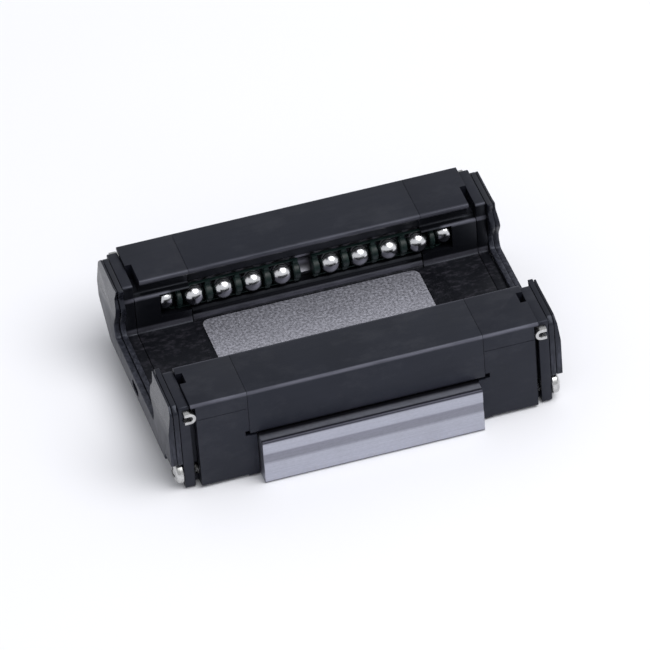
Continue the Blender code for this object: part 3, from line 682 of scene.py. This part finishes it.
def bore(end, y, radius, start, stop, steps=24):
    along = Matrix.Rotation(math.radians(90 * end), 4, "Y")
    profile = [(0, stop), (radius, stop), (radius, start), (0, start)]
    return turned("bore", profile, steps, at(0, y, SCREW_Z) @ along)


def grease_port(end, start):
    """Cutter for the grease port in the middle of an end, rounded at both sides."""
    radius = (PORT_HIGH - PORT_LOW) / 2
    reach, middle = PORT_HALF_WIDTH - radius, PORT_LOW + radius
    outline = arc(reach, middle, radius, -90, 90, 10) + arc(-reach, middle, radius, 90, 270, 10)
    return prism("port", outline, end * start, end * (SEAL_HIGH.x + 1), "X")


def make_end_block(end_name, end):
    block = prism(f"turn_block_{end_name}", block_section(), end * SEAM_X, end * BLOCK_HIGH.x,
                  "X", 0.03)
    carve(block, [box("tongue", (end * (LAND_X - 1), end * (SEAM_X + 0.5)),
                      (-LAND_Y, LAND_Y), (FLOOR - 0.3, FLOOR))], "UNION")
    lip = (end * (LAND_X + 0.05), end * (SEAM_X + 0.5))
    lips = [box("lip", lip, (side * LIP_INNER, side * RESIN_SIDE), (BLOCK_LOW.z, FLANGE_TOP), 0.04)
            for side in SIDES.values()]
    carve(block, lips, "UNION")
    around = rounded_rectangle(LAND_X + 0.05, LAND_Y + 0.05, LAND_RADIUS)
    cuts = [prism("land_space", around, 3, HEIGHT, "Z")]
    pocket = TURN_RADIUS + BALL / 2 + TURN_CLEARANCE
    low, high = BALL_Z - PASSAGE_HALF_HEIGHT, BALL_Z + PASSAGE_HALF_HEIGHT
    end_x, outside = BLOCK_HIGH.x, BLOCK_HIGH.x + 1
    for side_name, side in SIDES.items():
        outline = turn_outline(end, side, pocket, LAND_X - 1)
        cuts.append(prism("pocket", outline, low, high, "Z"))
        cuts.append(box("groove", lip,
                        (side * (RESIN_SIDE - GROOVE_DEPTH), side * (RESIN_SIDE + 1)),
                        (FLANGE_TOP + 0.1, FLANGE_TOP + 0.1 + GROOVE_HEIGHT)))
        cuts.append(box("side_slit", (end * (end_x - SLIT_WIDTH), end * outside),
                        (side * (RESIN_SIDE - SLIT_DEPTH), side * (RESIN_SIDE + 1)),
                        (-1, SLIT_TOP)))
        cuts.append(box("top_notch", (end * (end_x - TOP_NOTCH), end * outside),
                        [side * y for y in TOP_NOTCH_SPANS[side_name]],
                        (HEIGHT - TOP_NOTCH_DEPTH, HEIGHT + 1)))
        cuts.append(box("parting_line", (end * (SEAM_X + 0.1), end * (end_x - SLIT_WIDTH)),
                        (side * (RESIN_SIDE - PARTING_DEPTH), side * (RESIN_SIDE + 1)),
                        (PARTING_LOW, PARTING_HIGH)))
        cuts.append(bore(end, side * SCREW_Y, BORE_RADIUS, BORE_START, outside))
    carve(block, cuts)
    finish(block, BLOCK_RESIN, "carriage", [f"end_block_{end_name}"])


def make_turn_guide(end_name, end, side_name, side):
    radius = (GUIDE_HIGH.y - GUIDE_LOW.y) / 2
    outline = turn_outline(end, side, radius, GUIDE_LOW.x)
    guide = prism(f"guide_{end_name}_{side_name}", outline, GUIDE_LOW.z, GUIDE_HIGH.z, "Z", 0.05)
    finish(guide, INNER_RESIN, "carriage", [f"turn_guide_{end_name}_{side_name}"])


CLIP_RADIUS = (CLIP_HIGH.z - CLIP_LOW.z) / 2
CLIP_X = CLIP_LOW.x + CLIP_RADIUS
CLIP_Z = (CLIP_HIGH.z + CLIP_LOW.z) / 2
CLIP_ARM = CLIP_HIGH.x - CLIP_X
CLIP_WALL = 0.35


def clip_shape(name, end, side, grow, depth_range, rim=0.0):
    """A bent clip seen from the side: a half round with two short arms."""
    outer, inner = CLIP_RADIUS + grow, CLIP_RADIUS - CLIP_WALL - grow
    arm = CLIP_ARM + grow
    points = [(arm, -outer)] + arc(0, 0, outer, -90, -270, 24) + [(arm, outer), (arm, inner)]
    points += arc(0, 0, inner, -270, -90, 20) + [(arm, -inner)]
    outline = [(end * (CLIP_X + u), CLIP_Z + v) for u, v in points]
    return prism(name, outline, *[side * y for y in depth_range], "Y", rim)


def make_clip(end_name, end, side_name, side):
    clip = clip_shape(f"clip_{end_name}_{side_name}", end, side, 0.0,
                      (CLIP_LOW.y, CLIP_HIGH.y), 0.05)
    finish(clip, PLATED, "carriage", [f"seal_clip_{end_name}_{side_name}"])


def make_end_plate(end_name, end):
    plate = prism(f"plate_{end_name}", plate_section(), end * PLATE_LOW.x,
                  end * PLATE_HIGH.x, "X", 0.1)
    cuts = [grease_port(end, PLATE_HIGH.x - 0.6)]
    for side in SIDES.values():
        cuts.append(clip_shape("seat", end, side, 0.06, (CLIP_LOW.y - 0.06, RESIN_SIDE + 1)))
        cuts.append(bore(end, side * SCREW_Y, BORE_RADIUS, PLATE_LOW.x - 1,
                         PLATE_HIGH.x + 1))
    reach = SCREW_HEAD / 2 + 0.08
    cuts.append(box("head_step", (end * (PLATE_HIGH.x - 0.5), end * (PLATE_HIGH.x + 1)),
                    (SCREW_Y - reach, RESIN_SIDE + 1), (-1, SCREW_Z + reach)))
    carve(plate, cuts)
    finish(plate, BLOCK_RESIN, "carriage", [f"end_plate_{end_name}"])


def seal_side(lip, corner):
    """Half of a seal's section, from its lower edge round to the channel floor."""
    side, top = PLATE_HIGH.y, PLATE_HIGH.z
    points = [(0.0, SEAL_LOW.z)] + corner + [(side, top - SEAL_CHAMFER), (side - SEAL_CHAMFER, top)]
    points += [(y - lip, z) for y, z in SEAL_LIP]
    throat = FLOOR + SEAL_THROAT_RISE + lip
    points += [(SEAL_THROAT_Y - lip, throat), (0.0, throat)]
    return [point for point in softened(points, CORNER_RADIUS, 4) if point[0] > 0.5]


def seal_outline(lip):
    """Seal section over the screw heads: sloped at the left leg, square at the right."""
    side, foot = PLATE_HIGH.y, SEAL_LOW.z
    relief = SCREW_Y - SCREW_HEAD / 2 - 0.3
    left = seal_side(lip, [(SEAL_SLOPE_Y, foot), (side, SEAL_SLOPE_Z)])
    right = seal_side(lip, [(relief, foot), (relief, SEAL_CORNER), (side, SEAL_CORNER)])
    return left + [(-y, z) for y, z in reversed(right)]


def make_seals(end_name, end):
    scraper = prism(f"scraper_sheet_{end_name}", seal_outline(SCRAPER_SETBACK), end * SCRAPER_LOW.x,
                    end * SCRAPER_HIGH.x, "X", 0.05)
    carve(scraper, [grease_port(end, SCRAPER_LOW.x - 0.1)])
    finish(scraper, RUBBER, "carriage", [f"scraper_{end_name}"])
    face = SEAL_HIGH.x
    seal = prism(f"seal_plate_{end_name}", seal_outline(0.0), end * SEAL_LOW.x, end * face,
                 "X", 0.09, 3)
    lean = [(face, LEAN_START), (face + 1, LEAN_START), (face + 1, HEIGHT + 1),
            (face - LEAN_DEPTH, HEIGHT + 0.1), (face - LEAN_DEPTH, HEIGHT)]
    carve(seal, [prism("lean", [(end * x, z) for x, z in lean], -16, 16, "Y"),
                 grease_port(end, SEAL_LOW.x - 0.1)])
    finish(seal, RUBBER, "carriage", [f"end_seal_{end_name}"])


def make_screw(end_name, end, side_name, side):
    """Pan head with a cross recess on a threaded shank."""
    low, high = cad_box(f"end_screw_front_{side_name}")
    head, height, shank = SCREW_HEAD / 2, 1.0, 0.7
    length = high.x - low.x - height
    angles = (math.radians(90 * k / 8) for k in range(9))
    profile = [(head * math.sin(a), height - 0.45 * (1 - math.cos(a))) for a in angles]
    profile += [(head, 0.1), (head - 0.1, 0), (shank - 0.1, 0)]
    pitch = 0.35
    turns = int((length - 0.6) / pitch)
    for k in range(turns):
        z = -0.1 - k * pitch
        profile += [(shank - 0.13, z), (shank, z - pitch / 2)]
    profile += [(shank - 0.2, 0.2 - length), (shank - 0.35, -length), (0, -length)]
    along = Matrix.Rotation(math.radians(90 * end), 4, "Y")
    place = at(end * (high.x - height), side * SCREW_Y, SCREW_Z) @ along
    screw = turned(f"screw_{end_name}_{side_name}", profile, 40, place)
    face = end * (high.x - RECESS_DEPTH), end * (high.x + 1)
    for wide, tall in ((RECESS_REACH, RECESS_HALF_WIDTH), (RECESS_HALF_WIDTH, RECESS_REACH)):
        carve(screw, [box("recess", face, (side * SCREW_Y - wide, side * SCREW_Y + wide),
                          (SCREW_Z - tall, SCREW_Z + tall))])
    finish(screw, PLATED, "carriage", [f"end_screw_{end_name}_{side_name}"])


# ---------------------------------------------------------------- balls and belts

def ball(name, place, body, nodes):
    angles = (math.pi * k / 24 for k in range(25))
    profile = [(BALL / 2 * math.sin(a), BALL / 2 * math.cos(a)) for a in angles]
    obj = turned(name, profile, 48, place)
    return finish(obj, BALL_STEEL, body, nodes, 80)


def spacer_mesh():
    """A disc between two balls along X, with a shallow dish in each face."""
    radius, half, dish = 0.95, 0.37, 0.32
    profile = [(0, dish), (0.25, half - 0.02), (0.32, half), (radius - 0.12, half),
               (radius, half - 0.12)]
    profile += [(r, -x) for r, x in reversed(profile)]
    disc = turned("disc", profile, 32, Matrix.Rotation(math.radians(90), 4, "Y"))
    height = CAGE_HIGH.z - BALL_Z
    web = box("web", (-0.25, 0.25), (-0.2, 0.3), (-height + 0.02, height - 0.02), 0.03)
    carve(disc, [web], "UNION")
    mesh = disc.data
    bpy.data.objects.remove(disc)
    return mesh


SPACER = spacer_mesh()
STRIP_INNER = BALL / 2 + 0.06
STRIP_OUTER = CAGE_HIGH.z - BALL_Z
STRIP_HALF_WIDTH = 0.18
STRIP_INSET = 0.15
TURN_STRIP_START, TURN_STRIP_STOP = 0.5, 2 * PITCH + 0.35


def make_belt(name, places, strip_outline, body, node):
    """Dished spacers joined by a thin strip above and one below the balls."""
    belt = spread(name, SPACER, places)
    for low, high in ((STRIP_INNER, STRIP_OUTER), (-STRIP_OUTER, -STRIP_INNER)):
        strip = prism("strip", strip_outline, BALL_Z + low, BALL_Z + high, "Z", 0.04)
        carve(belt, [strip], "UNION")
    return finish(belt, CAGE, body, [node] if node else [], 40)


def straight_strip(x0, x1, y):
    return [(x0, y - STRIP_HALF_WIDTH), (x1, y - STRIP_HALF_WIDTH), (x1, y + STRIP_HALF_WIDTH),
            (x0, y + STRIP_HALF_WIDTH)]


# The spacers at the two ends of each turn are narrower, to clear the next ball through the
# whole travel.
LOAD_END_SPACER = Matrix.Diagonal((0.7, 0.8, 1.0, 1.0))
RETURN_END_SPACER = Matrix.Diagonal((0.54, 0.6, 1.0, 1.0))


def on_turn(distance, end, side):
    angle = distance / TURN_RADIUS
    x = end * (TURN_X + TURN_RADIUS * math.sin(angle))
    y = side * (TURN_Y - TURN_RADIUS * math.cos(angle))
    return at(x, y, BALL_Z) @ Matrix.Rotation(end * side * angle, 4, "Z")


def make_load_row(side_name, side):
    y, body = side * LOAD_Y, f"load_row_{side_name}"
    for end_name, end in ENDS.items():
        for k in range(LOAD_BALLS_EACH_END):
            name = f"{side_name}_{end_name}_{k + 1}"
            ball(f"loaded_{name}", at(end * (FIRST_BALL + k * PITCH), y, BALL_Z), body,
                 [f"load_ball_{name}"])
        places = [at(end * (FIRST_BALL + (k - 0.5) * PITCH), y, BALL_Z)
                  for k in range(LOAD_BALLS_EACH_END + 1)]
        places[-1] = places[-1] @ LOAD_END_SPACER
        strip = straight_strip(*sorted((end * CAGE_LOW.x, end * CAGE_HIGH.x)),
                               y + side * STRIP_INSET)
        make_belt(f"belt_{side_name}_{end_name}", places, strip, body,
                  f"load_cage_{side_name}_{end_name}")


def make_return_row(side_name, side):
    y, body = side * RETURN_Y, f"return_row_{side_name}"
    last = RETURN_BALLS_EACH_END
    places = [at((k + 0.5) * PITCH, y, BALL_Z) for k in range(-last, last)]
    strip = straight_strip(0.2 - TURN_X, TURN_X - 0.2, y - side * STRIP_INSET)
    make_belt(f"return_belt_{side_name}", places, strip, body, f"return_train_{side_name}")
    for k in range(-last, last + 1):
        ball(f"returning_{side_name}_{k + last + 1}", at(k * PITCH, y, BALL_Z), body, [])


def make_turn(end_name, end, side_name, side):
    label = f"{end_name}_{side_name}"
    body = f"turn_{label}"
    for k in range(TURN_BALLS):
        ball(f"turning_{label}_{k + 1}", on_turn((k + 0.5) * PITCH, end, side), body,
             [f"turn_ball_{label}_{k + 1}"])
    places = [on_turn((k + 1) * PITCH, end, side) for k in range(TURN_BALLS)]
    places[-1] = places[-1] @ RETURN_END_SPACER
    start, stop = (math.degrees(s / TURN_RADIUS) - 90 for s in (TURN_STRIP_START, TURN_STRIP_STOP))
    middle = TURN_RADIUS - STRIP_INSET
    band = arc(TURN_X, TURN_Y, middle + STRIP_HALF_WIDTH, start, stop, 20)
    band += arc(TURN_X, TURN_Y, middle - STRIP_HALF_WIDTH, stop, start, 20)
    make_belt(f"turn_belt_{label}", places, [(end * x, side * y) for x, y in band], body,
              f"turn_cage_{label}")


make_steel_block()
for end_name, end in ENDS.items():
    make_end_block(end_name, end)
    make_end_plate(end_name, end)
    make_seals(end_name, end)
for side_name, side in SIDES.items():
    make_leg_cover(side_name, side)
    make_retainer(side_name, side)
    make_load_row(side_name, side)
    make_return_row(side_name, side)
    for end_name, end in ENDS.items():
        make_turn_guide(end_name, end, side_name, side)
        make_turn(end_name, end, side_name, side)
        make_clip(end_name, end, side_name, side)
        make_screw(end_name, end, side_name, side)


# ---------------------------------------------------------------- floor, light and camera

def camera_axes(azimuth, elevation, roll):
    """Right, up and back directions of a camera that looks at the origin, in radians."""
    back = Vector((math.sin(azimuth) * math.cos(elevation),
                   -math.cos(azimuth) * math.cos(elevation), math.sin(elevation)))
    right = Vector((math.cos(azimuth), math.sin(azimuth), 0))
    up = back.cross(right)
    return (right * math.cos(roll) + up * math.sin(roll),
            up * math.cos(roll) - right * math.sin(roll), back)


AZIMUTH, ELEVATION, ROLL = -0.243, 0.673, -0.081    # radians
DISTANCE = 0.8458
LENS, SENSOR = 440.1, 36            # millimetres
OFF_RIGHT, OFF_UP = -0.000725, 0.004507
TENT_COLOUR = (0.965, 0.98, 1.0, 1.0)
TENT_FRONT, TENT_BACK, TENT_FADE = 0.68, 0.58, 0.6
DARK_SPOT = (-0.42, -0.16, 0.89)    # toward the dark opening of the tent
OPENING_EDGE, OPENING_CORE, OPENING_LEVEL = 0.96, 0.985, 0.05
SOFTBOX_AZIMUTH, SOFTBOX_ELEVATION = 50, 62         # degrees
SOFTBOX_DISTANCE, SOFTBOX_SIZE, SOFTBOX_POWER = 0.8, 0.75, 4.8
GROUND_HALF = 3.0
GROUND_DROP = 0.00002


def aim(obj, right, up, back, location):
    turn = Matrix((right, up, back)).transposed().to_4x4()
    obj.matrix_world = Matrix.Translation(location) @ turn


def make_camera():
    right, up, back = camera_axes(AZIMUTH, ELEVATION, ROLL)
    data = bpy.data.cameras.new("camera")
    data.lens = LENS
    data.sensor_width = SENSOR
    data.clip_end = 10
    camera = bpy.data.objects.new("camera", data)
    bpy.context.scene.collection.objects.link(camera)
    aim(camera, right, up, back, right * OFF_RIGHT + up * OFF_UP + back * DISTANCE)
    bpy.context.scene.camera = camera


def make_floor():
    bm = bmesh.new()
    bmesh.ops.create_grid(bm, x_segments=1, y_segments=1, size=GROUND_HALF)
    floor = new_object("floor", bm)
    floor.location.z = -GROUND_DROP
    made = Finish("floor_paint", Roughness=0.8, Specular_IOR_Level=0.1)
    cloud = made.noise(60.0, 2.0)
    colour = made.mixed(made.ranged(cloud, 0.0, 1.0), (0.890, 0.890, 0.925),
                        (0.905, 0.905, 0.94))
    floor.data.materials.append(made.use(Base_Color=colour))


def make_light(name, azimuth, elevation, distance, size, power):
    right, up, back = camera_axes(math.radians(azimuth), math.radians(elevation), 0)
    data = bpy.data.lights.new(name, "AREA")
    data.shape = "DISK"
    data.size = size
    data.energy = power
    light = bpy.data.objects.new(name, data)
    bpy.context.scene.collection.objects.link(light)
    aim(light, right, up, back, back * distance)


def make_world():
    """A white tent, brighter in front than behind the object, with a dark opening overhead."""
    world = bpy.data.worlds.new("tent")
    bpy.context.scene.world = world
    world.use_nodes = True
    tree = world.node_tree
    coordinates = tree.nodes.new("ShaderNodeTexCoord")
    split = tree.nodes.new("ShaderNodeSeparateXYZ")
    fade = tree.nodes.new("ShaderNodeMapRange")
    set_range(fade, -TENT_FADE, TENT_FADE, TENT_FRONT, TENT_BACK)
    toward = tree.nodes.new("ShaderNodeVectorMath")
    toward.operation = "DOT_PRODUCT"
    toward.inputs[1].default_value = DARK_SPOT
    opening = tree.nodes.new("ShaderNodeMapRange")
    set_range(opening, OPENING_EDGE, OPENING_CORE, 1.0, OPENING_LEVEL)
    strength = tree.nodes.new("ShaderNodeMath")
    strength.operation = "MULTIPLY"
    background = tree.nodes["Background"]
    background.inputs["Color"].default_value = TENT_COLOUR
    tree.links.new(coordinates.outputs["Generated"], split.inputs[0])
    tree.links.new(split.outputs["Y"], fade.inputs["Value"])
    tree.links.new(coordinates.outputs["Generated"], toward.inputs[0])
    tree.links.new(toward.outputs["Value"], opening.inputs["Value"])
    tree.links.new(fade.outputs["Result"], strength.inputs[0])
    tree.links.new(opening.outputs["Result"], strength.inputs[1])
    tree.links.new(strength.outputs[0], background.inputs["Strength"])


bpy.context.scene.view_settings.view_transform = "Standard"
make_camera()
make_floor()
make_world()
make_light("softbox", SOFTBOX_AZIMUTH, SOFTBOX_ELEVATION, SOFTBOX_DISTANCE, SOFTBOX_SIZE,
           SOFTBOX_POWER)
